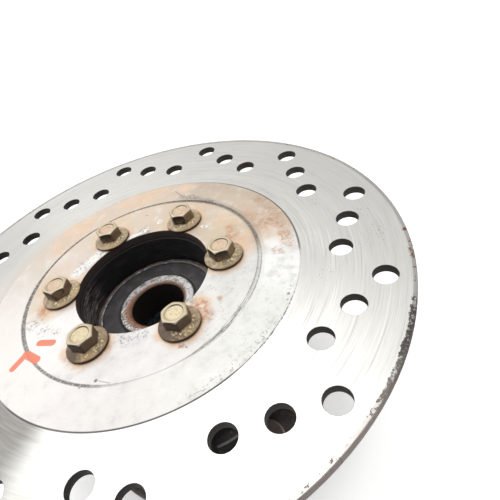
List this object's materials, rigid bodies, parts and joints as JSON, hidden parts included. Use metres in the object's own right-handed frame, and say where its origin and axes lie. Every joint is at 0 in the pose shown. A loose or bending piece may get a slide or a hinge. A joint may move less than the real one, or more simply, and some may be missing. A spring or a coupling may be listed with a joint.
{
  "type": "motorcycle brake disc on its wheel hub",
  "caption": "Drilled round brake disc bolted to a ribbed wheel hub with sealed ball bearings for the axle and a flange for the sprocket.",
  "frame": {"origin": "on the axle line, in the face of the sprocket spigot that the hub stands on", "axes": "+Z along the axle line, from the sprocket side to the disc side"},
  "size_m": [0.18, 0.18, 0.0861],
  "materials": {
    "disc_steel": "satin, brushed in circles by the pads, rust stained round the middle",
    "bolt_zinc": "yellow zinc plate, dulled",
    "hub_paint": "black paint over a sand-cast body, machined at its seats",
    "spacer_steel": "plain drawn tube, dull",
    "race_steel": "ground bearing steel, stained",
    "inner_race_steel": "ground bearing steel, rust at the mouth",
    "ball_steel": "polished",
    "cage_steel": "pressed sheet",
    "rivet_steel": "plain",
    "seal_rubber": "matt, dusty",
    "plate_steel": "plain sheet"
  },
  "bodies": {
    "hub": {"hub_body": "hub_paint", "brake_disc": "disc_steel", "disc_bolts": "bolt_zinc", "upper_outer_race": "race_steel", "upper_seal_top": "seal_rubber", "upper_seal_base": "seal_rubber", "upper_seal_plate_top": "plate_steel", "upper_seal_plate_base": "plate_steel", "lower_outer_race": "race_steel", "lower_seal_top": "seal_rubber", "lower_seal_base": "seal_rubber", "lower_seal_plate_top": "plate_steel", "lower_seal_plate_base": "plate_steel"},
    "upper_race": {"upper_inner_race": "inner_race_steel"},
    "upper_ball_set": {"upper_balls": "ball_steel", "upper_cage_top": "cage_steel", "upper_cage_base": "cage_steel", "upper_cage_rivets": "rivet_steel"},
    "lower_race": {"lower_inner_race": "inner_race_steel", "distance_spacer": "spacer_steel"},
    "lower_ball_set": {"lower_balls": "ball_steel", "lower_cage_top": "cage_steel", "lower_cage_base": "cage_steel", "lower_cage_rivets": "rivet_steel"}
  },
  "joints": [
    {"name": "upper_race_spin", "type": "hinge", "parent": "hub", "child": "upper_race", "pos_m": [0, 0, 0.059], "axis": [0, 0, 1], "continuous": true},
    {"name": "upper_ball_set_spin", "type": "hinge", "parent": "hub", "child": "upper_ball_set", "pos_m": [0, 0, 0.059], "axis": [0, 0, 1], "continuous": true},
    {"name": "lower_race_spin", "type": "hinge", "parent": "hub", "child": "lower_race", "pos_m": [0, 0, 0.016], "axis": [0, 0, 1], "continuous": true},
    {"name": "lower_ball_set_spin", "type": "hinge", "parent": "hub", "child": "lower_ball_set", "pos_m": [0, 0, 0.016], "axis": [0, 0, 1], "continuous": true}
  ],
  "couplings": [
    {"joint": "upper_ball_set_spin", "follows": "upper_race_spin", "ratio": 0.3815},
    {"joint": "lower_ball_set_spin", "follows": "lower_race_spin", "ratio": 0.3815}
  ]
}
